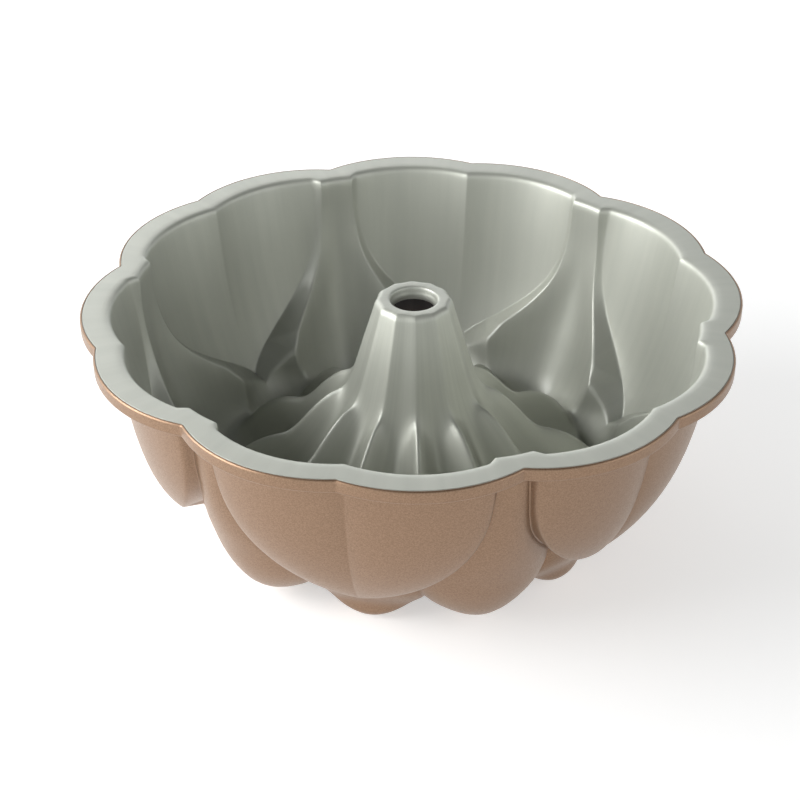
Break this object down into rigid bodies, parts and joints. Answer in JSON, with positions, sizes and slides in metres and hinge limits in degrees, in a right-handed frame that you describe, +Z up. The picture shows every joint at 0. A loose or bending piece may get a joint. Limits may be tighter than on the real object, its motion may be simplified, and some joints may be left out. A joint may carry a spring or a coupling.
{
  "type": "fluted tube pan",
  "caption": "Cast baking pan with a hollow centre tube and a ring cavity of layered flower petals, flanged rim, grey non-stick inside and toffee metallic paint outside.",
  "frame": {"origin": "on the tube's axis, at the plane the pan stands on", "axes": "+Z up along the tube's axis, -Y through the crease of one petal"},
  "size_m": [0.2566, 0.2606, 0.098],
  "materials": {
    "bare_aluminium": "as cast",
    "grey_nonstick": "satin",
    "toffee_paint": "satin metallic"
  },
  "bodies": {
    "root": {"pan_casting": "bare_aluminium", "inner_nonstick_lining": "grey_nonstick", "outer_metallic_coat": "toffee_paint"}
  },
  "joints": []
}
